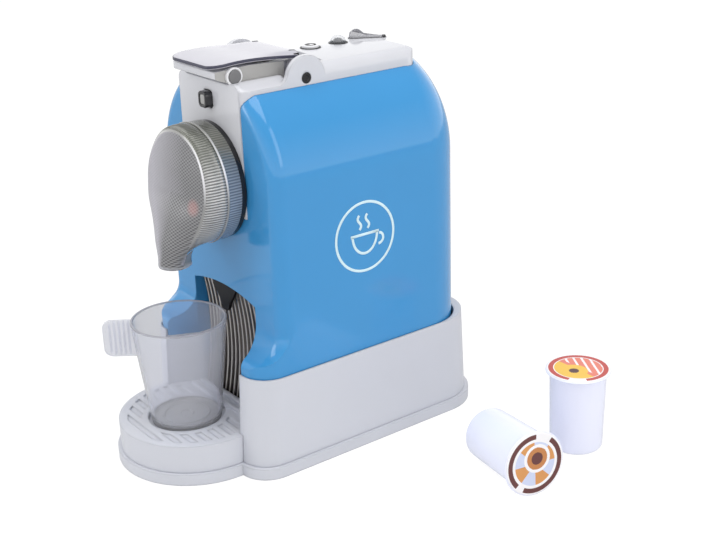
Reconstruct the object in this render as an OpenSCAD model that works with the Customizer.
// Toy capsule coffee maker with a lift-up lid, working buttons and dial, a tumbler and two play capsules.
// Millimetres. +Z is up, -Y is the front with the brew head, +X is the side that the tumbler's user sees.
// The origin is on the floor, in the middle of the base plate's rectangle.

/* [Base] */
// Origin to the front of the base plate
base_front = 80; // [78:1:92]
// Origin to the back of the base plate
base_back = 85; // [82:1:100]
// Half the width of the base plate
base_half = 62; // [61:1:74]
// Height of the base plate's rim
base_rim_h = 6.5; // [5:0.5:9]
// How far the base plate stands out past the plinth
base_ledge = 2; // [1:0.5:4]
// Height of the plinth above the floor
plinth_h = 57; // [50:1:68]
// Lean of the plinth's walls from foot to top
plinth_lean = 1.2; // [0:0.2:3]
// Extra lean of the plinth's front
front_lean = 1.8; // [0:0.2:2]
// Radius of the base's front corners
front_corner_r = 17; // [14:1:20]
// Radius of the base's back corners
back_corner_r = 28; // [22:1:34]
// Half the width of the gap in the plinth's front
bay_half = 40; // [36:1:42]

/* [Drip tray] */
// Radius of the round end of the tray
tray_r = 43.3; // [42:0.5:48]
// Height of the tray above the floor
tray_h = 22.6; // [18:0.2:28]
// Clearance round the foot of the cup in its well
cup_well_gap = 2; // [1.5:0.5:5]
// Depth of the cup's well
cup_well_depth = 2.4; // [2:0.2:4]
// Width of a drip slot
slot_w = 3.4; // [2:0.2:4]
// Spacing of the drip slots
slot_pitch = 7; // [6:0.5:10]
// Depth of a drip slot
slot_depth = 0.8; // [0.6:0.2:1.6]

/* [Body] */
// Half the width of the body, which is also the radius of the arch over it
body_half = 57.6; // [56.6:0.2:58.6]
// Origin to the flat front of the body
body_front = 57.3; // [55:0.5:62]
// Origin to the back of the body
body_back = 76; // [74:1:82]
// Height of the middle of the arch over the body
arch_z = 157; // [150:0.5:159]
// Thickness of the moulded walls
wall = 2.4; // [1.8:0.2:3]
// Rounding of the body's front edge
front_edge_r = 8; // [6:1:10]
// Rounding of the body's back edge
back_edge_r = 29; // [26:1:32]
// Half the width of the arched opening
opening_half = 31.7; // [30:0.5:34]
// Height of the top of the arched opening
opening_top = 93; // [86:1:98]
// How far the feet reach forward of the flat front
foot_reach = 16.3; // [14:0.5:18]
// Radius of the hollow curve from the flat front down to the feet
foot_curve_r = 16; // [13:0.5:18]
// Rounding of the feet's toes
toe_r = 4.8; // [4:0.2:6]

/* [Console] */
// Half the width of the grey spine on the front
spine_half = 30; // [28:0.5:31]
// Half the width of the console
deck_half = 33; // [32:0.5:35]
// Height of the sides of the deck with the controls
deck_z = 214; // [206:0.5:240]
// How far the middle of the deck stands above its sides
deck_crown = 1.5; // [0.5:0.5:2.5]
// Thickness of the deck
deck_t = 2.4; // [2:0.2:3]
// Origin to the back end of the console
deck_back = 59.5; // [58.5:0.5:62]
// Radius of the two hinge bosses
boss_r = 12; // [10:0.5:13]
// Diameter of the lid's hinge pin
pin_d = 6; // [5:0.5:7]
// Clearance between sliding or turning plastic parts
fit = 0.3; // [0.2:0.05:0.4]

/* [Lid] */
// Half the width of the lid
lid_half = 23; // [22:0.5:25]
// How far the lid reaches forward of the body's front
lid_overhang = 10.7; // [8:0.5:13]
// Thickness of the lid
lid_t = 1.8; // [1.4:0.2:2.4]
// Height of the middle of the lid above the deck
lid_rise = 5; // [4:0.5:8]

/* [Brew head] */
// Height of the middle of the brew head
head_z = 154.2; // [146:0.2:170]
// Radius of the brew head
head_r = 32.6; // [29:0.2:34]
// Depth of the round part of the brew head
head_depth = 24; // [20:0.5:28]
// Radius of the spout
spout_r = 9; // [8:0.5:11]
// Height of the spout's lip above the floor
spout_z = 111.5; // [106:0.5:114]
// Distance from the body's front to the middle of the spout
spout_reach = 28.7; // [26:0.5:32]

/* [Controls] */
// Diameter of the round push button
button_d = 9.8; // [8:0.2:11]
// Diameter of the dome button
dome_d = 9; // [7:0.2:10]
// Diameter of the dial knob
dial_d = 21.5; // [18:0.5:24]
// Heading of the dial's grip, as the pieces stand
dial_heading = -38; // [-60:1:60]
// Travel of the two push buttons
button_travel = 1.4; // [1:0.1:2]
// Travel of the latch button
latch_travel = 2; // [1.6:0.1:2]

/* [Cup and capsules] */
// Radius of the cup at its rim
cup_rim_r = 26.5; // [24:0.5:30]
// Radius of the cup at its foot
cup_foot_r = 19.5; // [17:0.5:20]
// Height of the cup
cup_h = 60.8; // [54:0.2:68]
// Thickness of the cup's wall
cup_wall = 1.6; // [1.2:0.1:2.2]
// Radius of a capsule's flange
capsule_r = 18; // [16:0.5:18.2]
// Height of a capsule
capsule_h = 47; // [40:1:52]
// Radius of a capsule's body under the flange
capsule_body_r = 15.6; // [14:0.2:15.8]
// Radius of a capsule's body at its foot
capsule_foot_r = 14.6; // [13:0.2:15]

/* [Hidden] */
$fn = 64;
eps = 0.01;
hull_fn = 32;
far = 200;
flange_t = 1;

// Base and plinth
plate_t = 2.4;
plinth_front = base_front - base_ledge;
plinth_back = base_back - base_ledge;
plinth_half = base_half - base_ledge;
plinth_corner_r = front_corner_r - 1;
body_gap = 0.4;
seat_z = plinth_h - 4;
body_corner_r = front_corner_r - 2;
body_back_r = back_corner_r - 1;
tray_y = -base_front - 1;
tray_wall = 2.2;
tray_gap = 0.1;
tray_back = -plinth_front - tray_gap;
tray_back_lean = (plinth_lean + front_lean) * (tray_h + 1 - base_rim_h) / (plinth_h - base_rim_h);
tray_rim = 5;
cup_well_r = cup_foot_r + cup_well_gap;
slots_each_way = 5;
ridge_w = 2.6;
ridge_h = 1.8;
ridge_gap = 1.3;
ridge_y = [-58.5, -64.5];
screw_x = plinth_half - wall - 4.6;
screw_y = [-44, 8, 46];
screw_post_r = 3.6;
screw_pilot_r = 1.2;
screw_hole_r = 1.8;
screw_head_r = 3;
screw_shank_r = 1.15;
post_top = 34;
rib_t = 2;

// Battery box: three AA cells lying side by side along X
cell_d = 14.4;
cell_l = 49;
nub_r = 2.7;
nub_l = 1.5;
cell_pitch = 15.2;
cell_count = 3;
box_y = -23;
box_wall = 2;
box_lip = 3;
box_half_x = cell_l / 2 + nub_l + 6 + box_wall;
box_half_y = cell_count * cell_pitch / 2 + box_wall;
box_h = cell_d + 3;
door_t = 1.8;
cell_z = door_t + 1.2 + cell_d / 2;
contact_t = 0.6;
contact_w = 8;
contact_r = 3.5;
door_post_x = box_half_x - box_wall - 3.6;
door_post_y = box_y + cell_pitch / 2;
door_post_r = 2.2;

// Speaker
speaker_y = 48;
speaker_r = 18;
speaker_h = 7;
speaker_cone_r = 9;
speaker_hole_r = 1.2;

// Backsplash: a shallow hollow curve, seen from the side
flute_pitch = 4.2;
flute_count = 15;
flute_w = 2.4;
flute_t = 1.2;
splash_half = opening_half - body_gap;
splash_top = opening_top + 3;
splash_bottom = tray_h - 2.4;
splash_face = body_front - wall - flute_t - fit;
splash_bow = 4.6;
splash_t = 2;
splash_chord = splash_top - splash_bottom;
splash_r = (pow(splash_chord / 2, 2) + pow(splash_bow, 2)) / (2 * splash_bow);
splash_mid_z = (splash_top + splash_bottom) / 2;
shield_t = 1.8;
shield_top_half = 13;
shield_tip_r = 4.5;
shield_drop = 16;

// Body
foot_y = -body_front - foot_reach;
foot_top = plinth_h + 23;
foot_curve_y = -body_front - foot_curve_r;
toe_y = foot_y + toe_r;
toe_z = foot_top - sqrt(pow(foot_curve_r + toe_r, 2) - pow(toe_y - foot_curve_y, 2));
toe_share = toe_r / (foot_curve_r + toe_r);
toe_join_y = toe_y - (toe_y - foot_curve_y) * toe_share;
jamb_depth = 9;
arch_top_r = 116;
bay_turn = foot_y - 0.4;
console_cut_z = 196;

// Console
console_front = body_front + 0.6;
spine_t = 3;
spine_bottom = head_z - 16;
spine_corner_r = 4.5;
ledge_z = deck_z - 5.4;
ledge_high = deck_z - 4.7;
ledge_low = deck_z - 7.8;
ledge_crest = 24;
ledge_t = 2.4;
ledge_corner_r = 6;
boss_y = -17.4;
boss_z = deck_z - 6.2;
boss_t = 3;
boss_in = deck_half - boss_t;
boss_sleeve_r = 5;
boss_sleeve_l = 4;
boss_flare_r = 8;
boss_flare_z = ledge_low - 0.3 + boss_flare_r;
boss_flare_y = boss_y - sqrt(pow(boss_r + boss_flare_r - 0.1, 2) - pow(boss_flare_z - boss_z, 2));
boss_join_z = boss_z + (boss_flare_z - boss_z) * boss_r / (boss_r + boss_flare_r);
deck_start = -2.2;
deck_top = deck_z + deck_crown;
deck_edge_r = 7;
deck_shoulder = 0.3;
deck_crown_r = (pow(deck_half - deck_edge_r, 2) + pow(deck_crown, 2)) / (2 * deck_crown);
deck_back_r = 11;
deck_corner_r = 9.6;
skirt_z = console_cut_z - 2;
trough_z = deck_z - 15.4;
trough_t = 2;
trough_front = -27;

// Hopper and capsule well
hopper_half = lid_half - 2;
hopper_lip = 7.4;
hopper_top = deck_z + 2.9;
hopper_bottom = ledge_z - 4.6;
hopper_back = boss_y - 5.8;
hopper_tail_half = 18.4;
hopper_tail = boss_y + 3;
well_r = capsule_body_r + 0.6;
well_wall = 1.2;
well_y = -console_front + spine_t + 0.1 + flange_t + latch_travel + 0.2 + well_r + well_wall;
well_seat_z = deck_z - 2;
well_floor = well_seat_z - capsule_h - 1.6;
seat_r = capsule_r + 0.6;
peg_r = 3.4;
peg_y = -54.6;
peg_z = deck_z - 1;
peg_end = hopper_half + 2.6;

// Lid
lid_front = -body_front - lid_overhang;
lid_back = boss_y + 3.6;
lid_corner_r = 6;
lid_arm_t = 4;
lid_arm_r = 5.2;
lid_steps = 14;

// Controls along the deck
button_y = 8.9;
dome_y = 27.8;
dial_y = 48.6;
board_z = deck_z - 14;
board_t = 1.6;
switch_h = 3.4;
switch_w = 5;
button_rise = 1.6;
dome_rise = 4.4;
bezel_w = 0.9;
bezel_t = 0.4;
bezel_depth = 2;
stem_r = 2;
button_seat_z = deck_top - bezel_depth - flange_t - 0.1;
spring_wire = 0.5;
spring_coils = 4;
spring_sides = 6;
spring_steps = 12;
console_post_r = 3;
console_post_x = deck_half - 5.5;
console_post_y = [3.4, 46];
dial_recess = 1.4;
dial_gap = 0.3;
dial_t = 0.9;
dial_low = deck_top - dial_recess + dial_gap;
dial_bore = 0.6;
grip_h = 5.2;
grip_r = 3;
grip_at = -7.6;
grip_slope = -1;
pointer_h = 1.6;
pointer_r = 1.3;
pointer_at = 9.7;
spindle_r = 3;
spindle_foot_r = 2.4;
encoder_r = 6.5;
encoder_h = 6;

// Latch
latch_z = head_z + 44;
latch_half = 4;
latch_h = 9;
latch_proud = 4;
latch_back = -console_front + spine_t + 0.1;

// Brew head
head_y = -console_front;
plate_depth = 2.6;
ring_depth = 12;
cap_wall = 1.8;
spout_y = -body_front - spout_reach;
face_r = head_r - 3;
dome_t = 2.6;
dish_r = head_r - 6;
cable_z = head_z - 10;
cable_hole_r = 3;
wire_r = 1;
led_z = head_z - 14;
led_r = 2.5;
led_board_t = 1.2;
led_board_y = head_y - plate_depth - 1.6 - 0.2;

// Cup
cup_floor = 2;
cup_z = tray_h - cup_well_depth;
cup_y = tray_y - 6.1;
handle_angle = 233;
handle_l = 16.8;
handle_h = 21.5;
handle_t = 2.4;
handle_corner_r = 5;
handle_low = cup_h - handle_h - 0.3;
handle_rib_count = 5;
handle_rib_pitch = 2.3;

// Capsules beside the machine
capsule_wall = 1.2;
capsule_flange_t = 1.2;
foil_t = 0.4;
standing_at = [137.9, 82.2];
lying_at = [161, 26.5];
lying_heading = -11;
lying_tilt = asin((capsule_r - capsule_foot_r) / capsule_h);

// ---- Helpers ----

// Extrudes an outline drawn in X and Z from y0 to y1
module along_y(y0, y1) {
    translate([0, y1, 0]) rotate([90, 0, 0]) linear_extrude(y1 - y0) children();
}

// Extrudes an outline drawn in Y and Z from x0 to x1
module along_x(x0, x1) {
    translate([x0, 0, 0]) rotate([90, 0, 90]) linear_extrude(x1 - x0) children();
}

// Cylinder along Y from y0 to y1, centred at height z
module rod_y(y0, y1, z, r, x = 0) {
    translate([x, y0, z]) rotate([-90, 0, 0]) cylinder(r = r, h = y1 - y0);
}

// Cylinder along X from x0 to x1
module rod_x(x0, x1, y, z, r) {
    translate([x0, y, z]) rotate([0, 90, 0]) cylinder(r = r, h = x1 - x0);
}

module mirrored() {
    children();
    mirror([1, 0, 0]) children();
}

// Rectangle seen from above with its own front and back corner radii
module plan(front, back, half, r_front, r_back) {
    translate([-half, -front + r_front]) square([2 * half, front + back - r_front - r_back]);
    translate([-half + r_front, -front]) square([2 * (half - r_front), r_front + eps]);
    translate([-half + r_back, back - r_back - eps]) square([2 * (half - r_back), r_back + eps]);
    for (side = [-1, 1]) {
        translate([side * (half - r_front), -front + r_front]) circle(r = r_front);
        translate([side * (half - r_back), back - r_back]) circle(r = r_back);
    }
}

module rounded_rect(w, h, r) {
    translate([-w / 2 + r, -h / 2]) square([w - 2 * r, h]);
    translate([-w / 2, -h / 2 + r]) square([w, h - 2 * r]);
    for (x = [-1, 1], y = [-1, 1]) translate([x * (w / 2 - r), y * (h / 2 - r)]) circle(r = r);
}

// ---- Base ----

module base_outline(inset) {
    tray_out = tray_r + base_ledge - inset;
    plan(base_front - inset, base_back - inset, base_half - inset,
        front_corner_r - inset / 2, back_corner_r - inset / 2);
    translate([0, tray_y]) circle(r = tray_out);
    translate([-tray_out, tray_y]) square([2 * tray_out, 20]);
}

module base_screw_places() {
    for (x = [-screw_x, screw_x], y = screw_y)
        translate([x, y, 0])
            children();
}

module base_plate() {
    color([0.80, 0.81, 0.84]) difference() {
        linear_extrude(base_rim_h) base_outline(0);
        translate([0, 0, plate_t]) linear_extrude(base_rim_h) base_outline(base_ledge + wall + fit);
        translate([-box_half_x, box_y - box_half_y, -eps])
            cube([2 * box_half_x, 2 * box_half_y, plate_t + 2 * eps]);
        base_screw_places() {
            translate([0, 0, -eps]) cylinder(r = screw_hole_r, h = base_rim_h);
            translate([0, 0, -eps]) cylinder(r = screw_head_r + fit, h = plate_t / 2 + 0.1);
        }
        translate([0, speaker_y, -eps])
            for (ring = [1, 2], k = [0 : ring * 6 - 1])
                rotate(k * 360 / (ring * 6)) translate([ring * 5, 0, 0])
                    cylinder(r = speaker_hole_r, h = plate_t + 2 * eps);
    }
}

module speaker() {
    color([0.2, 0.2, 0.22]) translate([0, speaker_y, plate_t]) {
        difference() {
            cylinder(r = speaker_r, h = 2);
            translate([0, 0, -eps]) cylinder(r = speaker_r - 2.5, h = 1);
        }
        translate([0, 0, 2 - eps]) cylinder(r1 = speaker_r - 2, r2 = speaker_cone_r, h = 3);
        translate([0, 0, 5 - 2 * eps]) cylinder(r = speaker_cone_r, h = speaker_h - 5);
    }
}

// The bay in the plinth and body, seen from above: straight at the front, then drawn in to the opening
module bay_outline(grow) {
    polygon([[-bay_half - grow, -far], [bay_half + grow, -far], [bay_half + grow, bay_turn],
        [opening_half + grow, -body_front], [opening_half + grow, -body_front + jamb_depth],
        [-opening_half - grow, -body_front + jamb_depth], [-opening_half - grow, -body_front],
        [-bay_half - grow, bay_turn]]);
}

// The body's footprint, drawn in by an inset
module body_plan(inset) {
    plan(-foot_y - inset, body_back - inset, body_half - inset,
        body_corner_r - inset / 2, body_back_r - inset / 2);
}

module plinth() {
    color([0.80, 0.81, 0.84]) {
        difference() {
            hull() {
                translate([0, 0, base_rim_h]) linear_extrude(eps)
                    plan(plinth_front, plinth_back, plinth_half,
                        plinth_corner_r, back_corner_r - 1, $fn = hull_fn);
                translate([0, 0, plinth_h - eps]) linear_extrude(eps)
                    plan(plinth_front - front_lean - plinth_lean, plinth_back - plinth_lean,
                        plinth_half - plinth_lean, plinth_corner_r, back_corner_r - 1, $fn = hull_fn);
            }
            translate([0, 0, base_rim_h - eps]) linear_extrude(seat_z - base_rim_h + 2 * eps) difference() {
                plan(plinth_front - wall - front_lean - plinth_lean, plinth_back - wall - plinth_lean,
                    plinth_half - wall - plinth_lean, plinth_corner_r - wall, back_corner_r - 1 - wall);
                bay_outline(wall);
            }
            translate([0, 0, seat_z]) linear_extrude(plinth_h) body_plan(-body_gap);
            translate([0, 0, base_rim_h - 1]) linear_extrude(plinth_h) bay_outline(0);
        }
        difference() {
            union() {
                base_screw_places() translate([0, 0, plate_t])
                    cylinder(r = screw_post_r, h = post_top - plate_t);
                mirrored() for (y = screw_y)
                    translate([screw_x, y - rib_t / 2, base_rim_h])
                        cube([plinth_half - wall / 2 - plinth_lean - screw_x, rib_t, post_top - base_rim_h]);
            }
            base_screw_places() translate([0, 0, plate_t - eps])
                cylinder(r = screw_pilot_r, h = post_top - 6);
        }
    }
}

module tray_outline(inset) {
    side = bay_half - tray_gap - inset;
    neck = opening_half - tray_gap - inset;
    front = -body_front - tray_gap;
    rear = -splash_face - flute_t - fit;
    intersection() {
        translate([0, tray_y]) circle(r = tray_r - inset);
        translate([-far, -far]) square([2 * far, far + tray_back + tray_back_lean]);
    }
    polygon([[-side, -plinth_front - 2], [side, -plinth_front - 2], [side, bay_turn - tray_gap],
        [neck, front], [neck, rear], [-neck, rear], [-neck, front], [-side, bay_turn - tray_gap]]);
}

// Drip slots, kept clear of the cup's well and of the tray's edge
module drip_slots() {
    difference() {
        for (k = [-slots_each_way : slots_each_way])
            translate([-tray_r, cup_y + k * slot_pitch - slot_w / 2, tray_h - slot_depth])
                cube([2 * tray_r, slot_w, 2 * slot_depth]);
        translate([0, cup_y, 0]) cylinder(r = cup_well_r + slot_w, h = 2 * tray_h);
        difference() {
            translate([-far / 2, -far, 0]) cube([far, far, 2 * tray_h]);
            translate([0, 0, -1]) linear_extrude(3 * tray_h) intersection() {
                tray_outline(tray_rim);
                translate([-far, -far]) square([2 * far, far + ridge_y[1] - slot_w]);
            }
        }
    }
}

module drip_tray() {
    color([0.82, 0.83, 0.85]) {
        difference() {
            translate([0, 0, base_rim_h]) linear_extrude(tray_h - base_rim_h) tray_outline(0);
            translate([0, 0, base_rim_h - eps])
                linear_extrude(tray_h - base_rim_h - cup_well_depth - tray_wall) tray_outline(tray_wall);
            translate([0, cup_y, tray_h - cup_well_depth]) cylinder(r = cup_well_r, h = tray_h);
            drip_slots();
            mirrored() along_x(bay_half - tray_gap, far)
                polygon([[tray_back, base_rim_h - 1], [tray_back, base_rim_h],
                    [tray_back + tray_back_lean, tray_h + 1], [0, tray_h + 1], [0, base_rim_h - 1]]);
        }
        difference() {
            for (y = ridge_y)
                translate([-opening_half + 1, y - ridge_w / 2, tray_h - eps])
                    cube([2 * opening_half - 2, ridge_w, ridge_h]);
            translate([0, cup_y, tray_h - 1]) cylinder(r = cup_foot_r + ridge_gap, h = ridge_h + 2);
        }
    }
}

// Side profile of a curved sheet whose hollow front face is moved forward by a shift
module splash_profile(shift, thickness) {
    middle = -splash_face - shift - splash_r + splash_bow;
    intersection() {
        difference() {
            translate([middle, splash_mid_z]) circle(r = splash_r + thickness, $fn = 180);
            translate([middle, splash_mid_z]) circle(r = splash_r, $fn = 180);
        }
        translate([-splash_face - shift - 1, splash_bottom])
            square([splash_bow + thickness + 3, splash_chord]);
    }
}

module backsplash() {
    color([0.14, 0.14, 0.15]) {
        along_x(-splash_half, splash_half) splash_profile(0, splash_t);
        for (k = [0 : flute_count - 1])
            translate([(k - (flute_count - 1) / 2) * flute_pitch, 0, 0])
                along_x(-flute_w / 2, flute_w / 2) splash_profile(flute_t, flute_t + 0.4);
    }
}

module spout_shield() {
    top = opening_top - 0.1;
    color([0.10, 0.10, 0.11]) along_y(-body_front + 0.2, -body_front + 0.2 + shield_t) intersection() {
        union() {
            polygon([[-shield_top_half, top], [-shield_tip_r, top - shield_drop + shield_tip_r],
                [shield_tip_r, top - shield_drop + shield_tip_r], [shield_top_half, top]]);
            translate([0, top - shield_drop + shield_tip_r]) circle(r = shield_tip_r);
        }
        arch_opening(-0.1);
    }
}

// ---- Power ----

module battery_box() {
    outer_x = box_half_x - body_gap;
    outer_y = box_half_y - body_gap;
    color([0.25, 0.25, 0.27]) difference() {
        union() {
            difference() {
                union() {
                    translate([-outer_x, box_y - outer_y, door_t + 0.2])
                        cube([2 * outer_x, 2 * outer_y, box_h + box_wall]);
                    translate([-box_half_x - box_lip, box_y - box_half_y - box_lip, plate_t])
                        cube([2 * (box_half_x + box_lip), 2 * (box_half_y + box_lip), box_wall]);
                }
                translate([-box_half_x + box_wall, box_y - box_half_y + box_wall, 0])
                    cube([2 * (box_half_x - box_wall), 2 * (box_half_y - box_wall), box_h + door_t]);
            }
            translate([door_post_x, door_post_y, door_t + 0.2]) cylinder(r = door_post_r, h = box_h);
        }
        translate([door_post_x, door_post_y, door_t]) cylinder(r = screw_pilot_r, h = cell_d);
    }
}

module battery_door() {
    color([0.78, 0.79, 0.82]) difference() {
        translate([-box_half_x + fit, box_y - box_half_y + fit, fit])
            cube([2 * (box_half_x - fit), 2 * (box_half_y - fit), door_t - fit]);
        translate([door_post_x, door_post_y, 0]) {
            cylinder(r = screw_pilot_r + 0.2, h = 2 * door_t);
            cylinder(r = screw_head_r, h = 1.1);
        }
    }
}

// Pan-head screw pointing up
module screw(length, head_r, head_t) {
    cylinder(r = head_r, h = head_t);
    translate([0, 0, head_t - eps]) cylinder(r = screw_shank_r, h = length);
}

module door_screw() {
    color([0.7, 0.7, 0.72]) translate([door_post_x, door_post_y, fit])
        screw(9, screw_head_r - fit, 0.8);
}

module battery(k) {
    at = [-cell_l / 2, box_y + (k - 1) * cell_pitch, cell_z];
    color([0.2, 0.45, 0.3]) translate(at) rotate([0, 90, 0]) {
        cylinder(r = cell_d / 2, h = cell_l);
        translate([0, 0, cell_l - eps]) cylinder(r = nub_r, h = nub_l);
    }
}

module battery_contacts() {
    plate_x = box_half_x - box_wall - 0.1;
    color([0.75, 0.75, 0.72]) for (k = [0 : cell_count - 1]) {
        translate([0, box_y + (k - 1) * cell_pitch, cell_z]) {
            for (x = [plate_x - contact_t, -plate_x])
                translate([x, -contact_w / 2, -contact_w / 2])
                    cube([contact_t, contact_w, contact_w]);
            translate([plate_x - contact_t + eps, 0, 0]) rotate([0, -90, 0])
                cylinder(r1 = contact_r, r2 = nub_r, h = plate_x - contact_t - cell_l / 2 - nub_l);
            translate([-plate_x + contact_t - eps, 0, 0]) rotate([0, 90, 0])
                cylinder(r1 = contact_r, r2 = nub_r, h = plate_x - contact_t - cell_l / 2);
        }
    }
}

module base_screws() {
    color([0.7, 0.7, 0.72]) base_screw_places() translate([0, 0, fit]) difference() {
        screw(12, screw_head_r, 0.9);
        translate([0, 0, -eps]) linear_extrude(0.5) {
            square([3.4, 0.7], center = true);
            square([0.7, 3.4], center = true);
        }
    }
}

// ---- Body shell ----

module body_outline(inset) {
    plan(body_front - inset, body_back - inset, body_half - inset, front_edge_r - inset, back_edge_r - inset);
}

// Half of the body's plan: X is the distance from its middle, Y runs from front to back
module half_plan(inset) {
    intersection() {
        body_outline(inset);
        translate([0, -far]) square([far, 2 * far]);
    }
}

// Straight sides up to the arch's middle and the same outline turned over the top
module body_form(inset, low) {
    translate([0, 0, low]) linear_extrude(arch_z - low) body_outline(inset);
    translate([0, 0, arch_z]) rotate([-90, 0, 0]) rotate_extrude($fn = 128) half_plan(inset);
}

// Opening in the front, in X and Z
module arch_opening(grow) {
    intersection() {
        translate([-opening_half - grow, seat_z - 1])
            square([2 * (opening_half + grow), opening_top + grow - seat_z + 1]);
        translate([0, opening_top + grow - arch_top_r]) circle(r = arch_top_r, $fn = 180);
    }
}

// Side view of a foot: hollow curve down from the flat front, then a rounded toe
module foot_profile(inset) {
    difference() {
        translate([foot_y + inset, seat_z]) square([foot_reach + wall, foot_top - seat_z]);
        translate([foot_curve_y, foot_top]) circle(r = foot_curve_r + inset);
        difference() {
            translate([foot_y - 1, toe_z]) square([toe_join_y - foot_y + 1, far]);
            translate([toe_y, toe_z]) circle(r = toe_r - inset);
        }
    }
}

// The flare runs along the front and round each corner, and is trimmed to the footprint
module foot(inset) {
    corner_x = body_half - front_edge_r;
    corner_y = -body_front + front_edge_r;
    intersection() {
        union() {
            along_x(opening_half - 2, corner_x) foot_profile(inset);
            translate([corner_x, corner_y, 0]) rotate_extrude() {
                translate([corner_y, 0]) mirror([1, 0]) foot_profile(inset);
                translate([0, seat_z]) square([front_edge_r - wall / 2, foot_top - seat_z]);
            }
        }
        translate([0, 0, seat_z - 1]) linear_extrude(foot_top) intersection() {
            body_plan(inset);
            translate([0, -far]) square([far, far + corner_y]);
        }
    }
}

module body_shell() {
    color([0.25, 0.58, 0.84]) difference() {
        union() {
            difference() {
                body_form(0, seat_z);
                difference() {
                    body_form(wall, seat_z - 10);
                    mirrored() translate([opening_half, -body_front, seat_z - 1])
                        cube([wall, jamb_depth, opening_top - seat_z - 4]);
                }
            }
            mirrored() foot(0);
        }
        mirrored() intersection() {
            translate([0, 0, -1]) foot(wall);
            translate([bay_half + wall, -far, 0]) cube([far, far - body_front - 0.5, far]);
        }
        along_y(-body_front - 1, -body_front + jamb_depth) arch_opening(0);
        translate([0, 0, seat_z - 2]) linear_extrude(foot_top - seat_z + 3) difference() {
            bay_outline(0);
            translate([-far, -body_front]) square([2 * far, far]);
        }
        translate([0, 0, console_cut_z]) linear_extrude(far) console_plan(-body_gap / 2);
        translate([-spine_half - body_gap / 2, -body_front - 5, spine_bottom - body_gap / 2])
            cube([2 * spine_half + body_gap, jamb_depth, far]);
    }
}

// ---- Console ----

// The whole console seen from above, drawn in by an inset
module console_plan(inset) {
    plan(console_front - inset, deck_back - inset, deck_half - inset,
        ledge_corner_r - inset, deck_corner_r - inset);
}

// The deck seen from above, drawn in by an inset
module deck_plan(inset) {
    plan(-deck_start - inset, deck_back - inset, deck_half - inset, 0.5, deck_corner_r - inset);
}

// The deck seen from the front: rounded sides under a slight crown
module deck_section(inset) {
    half = deck_half - inset;
    top = deck_z + deck_shoulder - inset;
    intersection() {
        translate([0, deck_top - deck_crown_r]) circle(r = deck_crown_r - inset, $fn = 360);
        union() {
            translate([-half, skirt_z - 10]) square([2 * half, top - deck_edge_r - skirt_z + 10]);
            translate([-half + deck_edge_r, skirt_z]) square([2 * (half - deck_edge_r), far]);
            for (side = [-1, 1])
                translate([side * (half - deck_edge_r), top - deck_edge_r]) circle(r = deck_edge_r);
        }
    }
}

module deck_profile(inset) {
    back = deck_back - inset;
    top = deck_top - inset;
    start = deck_start + inset;
    translate([start, skirt_z]) square([back - start - deck_back_r, top - skirt_z]);
    translate([start, skirt_z]) square([back - start, top - deck_back_r - skirt_z]);
    translate([back - deck_back_r, top - deck_back_r]) circle(r = deck_back_r);
}

module deck_shell() {
    difference() {
        intersection() {
            along_y(deck_start, deck_back) deck_section(0);
            along_x(-deck_half, deck_half) deck_profile(0);
            linear_extrude(deck_z + far) deck_plan(0);
        }
        intersection() {
            along_y(deck_start + wall, deck_back - wall) deck_section(deck_t);
            translate([0, 0, -1]) along_x(-deck_half, deck_half) deck_profile(deck_t);
            linear_extrude(deck_z + far) deck_plan(wall);
        }
    }
}

// Round boss that flares forward into the ledge, with a sleeve for the pin and a shoulder back to the deck
module hinge_boss() {
    along_x(boss_in, deck_half) {
        translate([boss_y, boss_z]) circle(r = boss_r);
        translate([boss_y - boss_r, skirt_z]) square([deck_start - boss_y + boss_r + 1, boss_z - skirt_z]);
        difference() {
            translate([boss_flare_y, skirt_z]) square([boss_y - boss_flare_y, boss_join_z - skirt_z]);
            translate([boss_flare_y, boss_flare_z]) circle(r = boss_flare_r);
        }
    }
    rod_x(boss_in - boss_sleeve_l, boss_in + 1, boss_y, boss_z, boss_sleeve_r);
    intersection() {
        along_y(boss_y, deck_start + 1) deck_section(0);
        translate([boss_in - boss_sleeve_l, -far, skirt_z]) cube([far, 2 * far, far]);
    }
}

// The ledge seen from above
module ledge_plan() {
    plan(console_front, boss_y - boss_r + 2, deck_half, ledge_corner_r, 1);
}

// Wall around the ledge, from the cut in the body up to the ledge's low edge
module ledge_wall() {
    low = console_cut_z + body_gap;
    inside = deck_half - 2 * ledge_t;
    translate([0, 0, low]) linear_extrude(ledge_low - low) difference() {
        ledge_plan();
        translate([-inside, -console_front + spine_t]) square([2 * inside, far]);
    }
}

// Ledge on both sides of the hopper, falling away to the outside
module ledge() {
    low = ledge_low - ledge_t;
    open = hopper_half + fit;
    difference() {
        hull() {
            translate([0, 0, low]) linear_extrude(ledge_t) ledge_plan($fn = hull_fn);
            translate([-ledge_crest, -console_front + 1, ledge_high - eps])
                cube([2 * ledge_crest, console_front + boss_y - boss_r + 1, eps]);
        }
        translate([-open, -console_front + spine_t, low - 1]) cube([2 * open, far, far]);
        translate([-open, -far, ledge_z]) cube([2 * open, 2 * far, far]);
    }
}

module console_posts() {
    for (y = console_post_y, side = [-1, 1])
        translate([side * console_post_x, y, 0])
            children();
}

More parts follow.
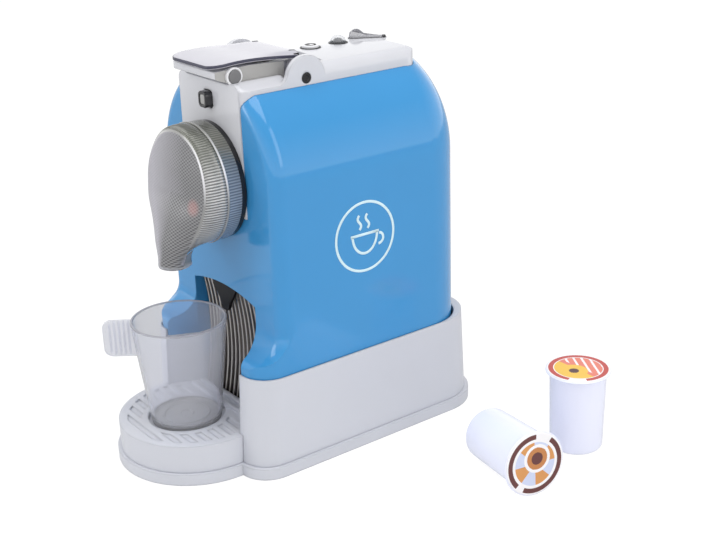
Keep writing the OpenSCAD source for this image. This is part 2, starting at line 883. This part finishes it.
module console() {
    color([0.84, 0.84, 0.86]) difference() {
        union() {
            deck_shell();
            mirrored() {
                hinge_boss();
            }
            ledge_wall();
            ledge();
            along_y(-console_front, -console_front + spine_t) difference() {
                union() {
                    translate([0, (spine_bottom + ledge_high) / 2])
                        rounded_rect(2 * spine_half, ledge_high - spine_bottom, spine_corner_r);
                    translate([-spine_half, spine_bottom]) square([2 * spine_half, 2 * spine_corner_r]);
                }
                translate([-hopper_half - fit, ledge_z]) square([2 * (hopper_half + fit), far]);
            }
            translate([-boss_in - 1, trough_front, trough_z])
                cube([2 * boss_in + 2, deck_start - trough_front + 1, trough_t]);
            console_posts() translate([0, 0, board_z + board_t + 0.1])
                cylinder(r = console_post_r, h = deck_z - board_z - board_t - deck_t);
        }
        console_posts() translate([0, 0, board_z]) cylinder(r = screw_pilot_r, h = 9);
        rod_x(-deck_half - 1, deck_half + 1, boss_y, boss_z, pin_d / 2 + 0.02);
        translate([0, button_y, deck_z - 5]) cylinder(r = button_d / 2 + bezel_w + 0.1, h = 9);
        translate([0, dome_y, deck_z - 5]) cylinder(r = dome_d / 2 + bezel_w + 0.1, h = 9);
        translate([0, dial_y, deck_z - 5]) cylinder(r = spindle_r + fit, h = 9);
        translate([0, dial_y, deck_top - dial_recess]) cylinder(r = dial_d / 2 + 0.4, h = 9);
        along_y(-console_front - 1, -console_front + spine_t + 1) translate([0, latch_z])
            rounded_rect(2 * (latch_half + fit), latch_h + 2 * fit, 2);
        rod_y(-console_front - 1, -console_front + spine_t + 1, cable_z, cable_hole_r);
        head_screw_places() translate([0, 0, -spine_t - 1])
            cylinder(r = screw_pilot_r + 0.2, h = 2 * spine_t);
        translate([0, well_y, trough_z - 1]) cylinder(r = well_r + well_wall + 0.1, h = 2 * trough_t);
    }
}

module console_screws() {
    color([0.7, 0.7, 0.72]) console_posts() translate([0, 0, board_z - 1.4])
        screw(7, 2.4, 1.3);
}

module hinge_pins() {
    color([0.12, 0.12, 0.13]) mirrored()
        rod_x(lid_half - lid_arm_t, deck_half + 0.2, boss_y, boss_z, pin_d / 2);
}

// Hopper as seen from the side
module hopper_profile() {
    wall_y = -console_front + spine_t + fit;
    lip_y = -console_front - hopper_lip;
    polygon([[wall_y, hopper_bottom], [wall_y, ledge_z + 0.6], [-console_front, ledge_z + 0.8],
        [lip_y + 0.6, ledge_z + 3.4], [lip_y, ledge_z + 4], [lip_y, hopper_top - 0.8], [-45, hopper_top],
        [hopper_back, hopper_top - 1], [hopper_back, hopper_bottom]]);
}

module capsule_hopper() {
    color([0.80, 0.80, 0.81]) difference() {
        union() {
            along_x(-hopper_half, hopper_half) hopper_profile();
            translate([-hopper_tail_half, hopper_back - 1, hopper_bottom])
                cube([2 * hopper_tail_half, hopper_tail - hopper_back + 1, hopper_top - 1.4 - hopper_bottom]);
        }
        translate([0, well_y, well_seat_z]) cylinder(r = seat_r, h = 20);
        translate([0, well_y, hopper_bottom - 1]) cylinder(r = well_r + well_wall + 0.05, h = 20);
        rod_x(-hopper_half - 1, hopper_half + 1, peg_y, peg_z, peg_r - 1);
    }
}

module hopper_pegs() {
    color([0.62, 0.62, 0.62]) mirrored() {
        rod_x(hopper_half - 3, hopper_half + 0.1, peg_y, peg_z, peg_r - 1.1);
        rod_x(hopper_half + 0.05, peg_end, peg_y, peg_z, peg_r);
    }
}

module capsule_well() {
    color([0.2, 0.2, 0.22]) translate([0, well_y, 0]) difference() {
        translate([0, 0, well_floor - well_wall])
            cylinder(r = well_r + well_wall, h = well_seat_z - well_floor + well_wall);
        translate([0, 0, well_floor]) cylinder(r = well_r, h = far);
    }
}

// Height of the lid's top, t from 0 at the front to 1 at the back
function lid_top(t) = deck_z + lid_rise + 1.9 * sin(pow(t, 0.8) * 180) - 1.1 * t;
function lid_y(t) = lid_front + t * (lid_back - lid_front);

module lid_profile() {
    polygon(concat(
        [for (k = [0 : lid_steps]) [lid_y(k / lid_steps), lid_top(k / lid_steps)]],
        [for (k = [lid_steps : -1 : 0]) [lid_y(k / lid_steps), lid_top(k / lid_steps) - lid_t]]));
}

module lid() {
    color([0.75, 0.75, 0.82, 0.6]) difference() {
        union() {
            intersection() {
                along_x(-lid_half, lid_half) lid_profile();
                translate([0, 0, deck_z - 20]) linear_extrude(60)
                    plan(-lid_front, lid_back, lid_half, lid_corner_r, 1.5);
            }
            mirrored() along_x(lid_half - lid_arm_t, lid_half) {
                translate([boss_y, boss_z]) circle(r = lid_arm_r);
                translate([boss_y - 1.5, boss_z]) square([5, lid_top(1) - lid_t / 2 - boss_z]);
            }
        }
        rod_x(-lid_half - 1, lid_half + 1, boss_y, boss_z, pin_d / 2 + 0.08);
    }
}

module latch_button() {
    color([0.25, 0.25, 0.28]) {
        along_y(-console_front - latch_proud, latch_back + 0.1) translate([0, latch_z])
            rounded_rect(2 * latch_half, latch_h, 1.8);
        along_y(latch_back, latch_back + flange_t) translate([0, latch_z])
            rounded_rect(2 * latch_half + 4, latch_h + 2, 1.8);
    }
}

// ---- Controls ----

module circuit_board() {
    color([0.1, 0.4, 0.2]) difference() {
        translate([0, 0, board_z]) linear_extrude(board_t) deck_plan(wall + 0.2);
        console_posts() translate([0, 0, board_z - 1]) cylinder(r = 1.5, h = 4);
        translate([0, dial_y, board_z - 1]) cylinder(r = spindle_r + 0.6, h = 4);
    }
}

module tact_switch(y) {
    color([0.15, 0.15, 0.16]) translate([-switch_w / 2, y - switch_w / 2, board_z + board_t])
        cube([switch_w, switch_w, switch_h]);
}

module power_switch() {
    tact_switch(button_y);
}

module mode_switch() {
    tact_switch(dome_y);
}

module dial_switch() {
    color([0.3, 0.3, 0.32]) translate([0, dial_y, board_z - encoder_h]) difference() {
        cylinder(r = encoder_r, h = encoder_h);
        translate([0, 0, 1.4]) cylinder(r = spindle_foot_r + 0.05, h = encoder_h);
    }
}

module dial_spindle() {
    color([0.85, 0.85, 0.86]) translate([0, dial_y, 0]) {
        translate([0, 0, board_z - encoder_h + 1.8]) cylinder(r = spindle_foot_r, h = 10);
        translate([0, 0, board_z + 3]) cylinder(r = spindle_r, h = dial_low + dial_bore - 0.05 - board_z - 3);
    }
}

module grip_step(y, r, h) {
    translate([0, y, 0]) cylinder(r = r, h = dial_t + h, $fn = hull_fn);
}

// Flat disc let into the deck, with a tall grip that runs out into a low pointer
module dial_knob() {
    color([0.6, 0.6, 0.66]) translate([0, dial_y, dial_low]) rotate(dial_heading) difference() {
        union() {
            cylinder(r = dial_d / 2, h = dial_t);
            hull() {
                grip_step(grip_at, grip_r, grip_h - 1.5);
                grip_step(grip_at + 1, grip_r - 1.4, grip_h);
                grip_step(grip_slope, pointer_r, pointer_h);
            }
            hull() {
                grip_step(grip_slope - 1, pointer_r + 0.6, pointer_h - 0.4);
                grip_step(pointer_at, pointer_r, pointer_h - 0.2);
            }
        }
        translate([0, 0, -eps]) cylinder(r = spindle_r + 0.05, h = dial_bore);
    }
}

module bezel(y, r) {
    color([0.15, 0.15, 0.16]) translate([0, y, deck_top - bezel_depth]) difference() {
        cylinder(r = r + bezel_w, h = bezel_depth + bezel_t);
        translate([0, 0, -1]) cylinder(r = r + fit, h = bezel_depth + bezel_t + 2);
    }
}

module power_bezel() {
    bezel(button_y, button_d / 2);
}

module mode_bezel() {
    bezel(dome_y, dome_d / 2);
}

// Flange, stem and shaft of a push button, up to the deck's top
module push_shaft(y, r) {
    translate([0, y, button_seat_z]) cylinder(r = r + 0.9, h = flange_t);
    translate([0, y, board_z + board_t + switch_h + button_travel + 0.15]) cylinder(r = stem_r, h = 5);
    translate([0, y, button_seat_z]) cylinder(r = r, h = deck_top - button_seat_z + 0.1);
}

module power_button() {
    color([0.93, 0.93, 0.94]) {
        push_shaft(button_y, button_d / 2);
        translate([0, button_y, deck_top]) cylinder(r = button_d / 2, h = button_rise);
    }
}

module mode_button() {
    dome_r = dome_d / 2 + 0.2;
    color([0.75, 0.77, 0.80]) {
        push_shaft(dome_y, dome_d / 2);
        translate([0, dome_y, deck_top]) intersection() {
            translate([0, 0, dome_rise - dome_r]) sphere(r = dome_r);
            cylinder(r = dome_d / 2, h = 2 * dome_rise);
        }
    }
}

// Coil spring of round wire standing on z = 0
module spring(r, h) {
    pitch = (h - 2 * spring_wire) / spring_coils;
    rings = spring_coils * spring_steps;
    points = [for (k = [0 : rings], s = [0 : spring_sides - 1])
        let (a = k * 360 / spring_steps, b = s * 360 / spring_sides, d = r + spring_wire * cos(b))
            [d * cos(a), d * sin(a), spring_wire + pitch * a / 360 + spring_wire * sin(b)]];
    sides = [for (k = [0 : rings - 1], s = [0 : spring_sides - 1])
        let (n = (s + 1) % spring_sides, a = k * spring_sides, b = (k + 1) * spring_sides)
            [a + s, b + s, b + n, a + n]];
    first = [for (s = [0 : spring_sides - 1]) s];
    last = [for (s = [spring_sides - 1 : -1 : 0]) rings * spring_sides + s];
    polyhedron(points, concat(sides, [first, last]));
}

module power_spring() {
    color([0.7, 0.7, 0.7]) translate([0, button_y, board_z + board_t])
        spring(button_d / 2, button_seat_z - board_z - board_t);
}

module mode_spring() {
    color([0.7, 0.7, 0.7]) translate([0, dome_y, board_z + board_t])
        spring(dome_d / 2 + 0.2, button_seat_z - board_z - board_t);
}

// ---- Brew head ----

module head_screw_places() {
    for (a = [35, 145, 215, 325])
        translate([(dish_r - 2) * cos(a), head_y, head_z + (dish_r - 2) * sin(a)])
            rotate([90, 0, 0])
                children();
}

module head_back_plate() {
    color([0.16, 0.16, 0.18]) difference() {
        rod_y(head_y - plate_depth, head_y, head_z, head_r - 0.4);
        rod_y(head_y - plate_depth - 1, head_y + 1, cable_z, cable_hole_r);
        head_screw_places() translate([0, 0, -1]) cylinder(r = screw_pilot_r, h = plate_depth + 2);
    }
}

module head_rear_ring() {
    color([0.6, 0.6, 0.62]) difference() {
        rod_y(head_y - ring_depth, head_y - plate_depth, head_z, head_r);
        rod_y(head_y - ring_depth - 1, head_y, head_z, head_r - cap_wall);
    }
}

// Drum with a rounded rim and a slightly domed face
module cap_drum(inset) {
    front = head_y - head_depth + inset;
    hull() {
        rod_y(front + 6, head_y - ring_depth, head_z, head_r - inset, $fn = hull_fn * 2);
        rod_y(front + 2, front + 6, head_z, head_r - 1.2 - inset, $fn = hull_fn * 2);
        rod_y(front, front + 1, head_z, face_r - inset, $fn = hull_fn * 2);
        rod_y(front - dome_t, front, head_z, face_r - 8 - inset, $fn = hull_fn);
    }
}

// Teardrop chute from the face down to the spout
module cap_chute(inset) {
    front = head_y - head_depth + inset;
    hull() {
        rod_y(front, front + 2, head_z, face_r - inset, $fn = hull_fn * 2);
        rod_y(front - dome_t, front, head_z, face_r - 8 - inset, $fn = hull_fn);
        translate([0, spout_y, spout_z + (inset > 0 ? -1 : 0)])
            cylinder(r = spout_r - inset, h = 5 + cap_wall, $fn = hull_fn);
    }
}

module head_front_cap() {
    color([0.55, 0.55, 0.58, 0.7]) difference() {
        union() {
            cap_drum(0);
            cap_chute(0);
        }
        cap_drum(cap_wall);
        cap_chute(cap_wall);
        rod_y(head_y - ring_depth - 1, head_y - ring_depth + 3, head_z, head_r - cap_wall);
    }
}

module head_diffuser() {
    back = head_y - plate_depth;
    color([0.35, 0.35, 0.36]) difference() {
        rod_y(back - 6, back, head_z, dish_r);
        rod_y(back - 7, back - 1.6, head_z, dish_r - 2);
        rod_y(back - 7, back + 1, cable_z, cable_hole_r);
        head_screw_places() translate([0, 0, plate_depth - 1]) cylinder(r = screw_pilot_r, h = 20);
    }
}

module head_screws() {
    color([0.7, 0.7, 0.72]) head_screw_places() translate([0, 0, -spine_t - 1.4])
        screw(spine_t + 5, 2.2, 1.4);
}

module led_board() {
    color([0.1, 0.4, 0.2]) translate([-7, led_board_y - led_board_t, led_z - 8]) cube([14, led_board_t, 16]);
}

module red_led() {
    front = led_board_y - led_board_t - 3;
    color([0.9, 0.15, 0.1]) {
        rod_y(front, front + 3, led_z, led_r);
        translate([0, front, led_z]) sphere(r = led_r);
    }
}

// Insulated wire through a list of points
module wire(points) {
    for (p = points)
        translate(p) sphere(r = wire_r + 0.1);
    for (k = [0 : len(points) - 2]) {
        step = points[k + 1] - points[k];
        translate(points[k])
            rotate([0, acos(step[2] / norm(step)), atan2(step[1], step[0])])
                cylinder(r = wire_r, h = norm(step));
    }
}

module wire_harness() {
    box_top = door_t + box_h + box_wall + 0.3 + wire_r;
    board_under = board_z - wire_r - 0.1;
    color([0.15, 0.15, 0.15]) {
        wire([[20, -5, box_top], [20, 12, box_top + 20], [20, 14, board_under - 20], [12, 18, board_under]]);
        wire([[0, speaker_y, plate_t + speaker_h + wire_r + 0.1], [0, 62, 40], [0, 62, board_under - 30],
            [0, 36, board_under]]);
        wire([[0, led_board_y + wire_r + 0.1, cable_z], [0, -40, cable_z], [0, 2, cable_z + 10],
            [-8, 6, board_under - 14], [-10, 14, board_under]]);
    }
}

// ---- Cup and capsules ----

module cup_handle() {
    outer = cup_rim_r + handle_l - 1;
    root = cup_rim_r - 4.5;
    rotate(handle_angle) {
        along_y(-handle_t / 2, handle_t / 2) {
            translate([root, handle_low]) square([outer - handle_corner_r - root, handle_h]);
            for (z = [handle_low + handle_corner_r, handle_low + handle_h - handle_corner_r])
                translate([outer - handle_corner_r, z]) circle(r = handle_corner_r);
            translate([outer - handle_corner_r, handle_low + handle_corner_r])
                square([handle_corner_r, handle_h - 2 * handle_corner_r]);
        }
        for (k = [0 : handle_rib_count - 1])
            translate([cup_rim_r + 0.5 + k * handle_rib_pitch, -handle_t / 2 - 0.6, handle_low + 1.5])
                cube([1, handle_t + 1.2, handle_h - 3]);
    }
}

module cup() {
    color([0.85, 0.87, 0.92, 0.5]) translate([0, cup_y, cup_z]) difference() {
        union() {
            cylinder(r1 = cup_foot_r, r2 = cup_rim_r, h = cup_h);
            cup_handle();
        }
        translate([0, 0, cup_floor])
            cylinder(r1 = cup_foot_r - cup_wall, r2 = cup_rim_r - cup_wall, h = cup_h - cup_floor + eps);
    }
}

// A capsule standing on its foot at the origin
module capsule_body() {
    difference() {
        union() {
            cylinder(r1 = capsule_foot_r, r2 = capsule_body_r, h = capsule_h - capsule_flange_t);
            translate([0, 0, capsule_h - foil_t - capsule_flange_t])
                cylinder(r = capsule_r, h = capsule_flange_t);
        }
        translate([0, 0, capsule_wall])
            cylinder(r1 = capsule_foot_r - capsule_wall, r2 = capsule_body_r - capsule_wall, h = capsule_h);
    }
}

module capsule_foil() {
    translate([0, 0, capsule_h - foil_t]) cylinder(r = capsule_r - 0.8, h = foil_t);
}

module standing() {
    translate([standing_at[0], standing_at[1], 0])
        children();
}

// The lying capsule rests on its flange and on the edge of its foot
module lying() {
    translate([lying_at[0], lying_at[1], capsule_r * cos(lying_tilt)])
        rotate(lying_heading) rotate([0, 90 - lying_tilt, 0]) translate([0, 0, foil_t - capsule_h])
            children();
}

module capsule_1_body() {
    color([0.95, 0.95, 0.97]) standing() capsule_body();
}

module capsule_1_foil() {
    color([0.85, 0.35, 0.2]) standing() capsule_foil();
}

module capsule_2_body() {
    color([0.95, 0.95, 0.97]) lying() capsule_body();
}

module capsule_2_foil() {
    color([0.45, 0.28, 0.15]) lying() capsule_foil();
}

base_plate();
plinth();
drip_tray();
backsplash();
spout_shield();
battery_box();
battery_door();
battery(0);  // battery_1
battery(1);  // battery_2
battery(2);  // battery_3
battery_contacts();
door_screw();
base_screws();
speaker();
body_shell();
console();
capsule_hopper();
hopper_pegs();
capsule_well();
hinge_pins();
console_screws();
circuit_board();
power_switch();
mode_switch();
dial_switch();
wire_harness();
power_bezel();
mode_bezel();
head_back_plate();
head_rear_ring();
head_front_cap();
head_diffuser();
head_screws();
led_board();
red_led();
power_spring();
mode_spring();
lid();
latch_button();
power_button();
mode_button();
dial_knob();
dial_spindle();
cup();
capsule_1_body();
capsule_1_foil();
capsule_2_body();
capsule_2_foil();
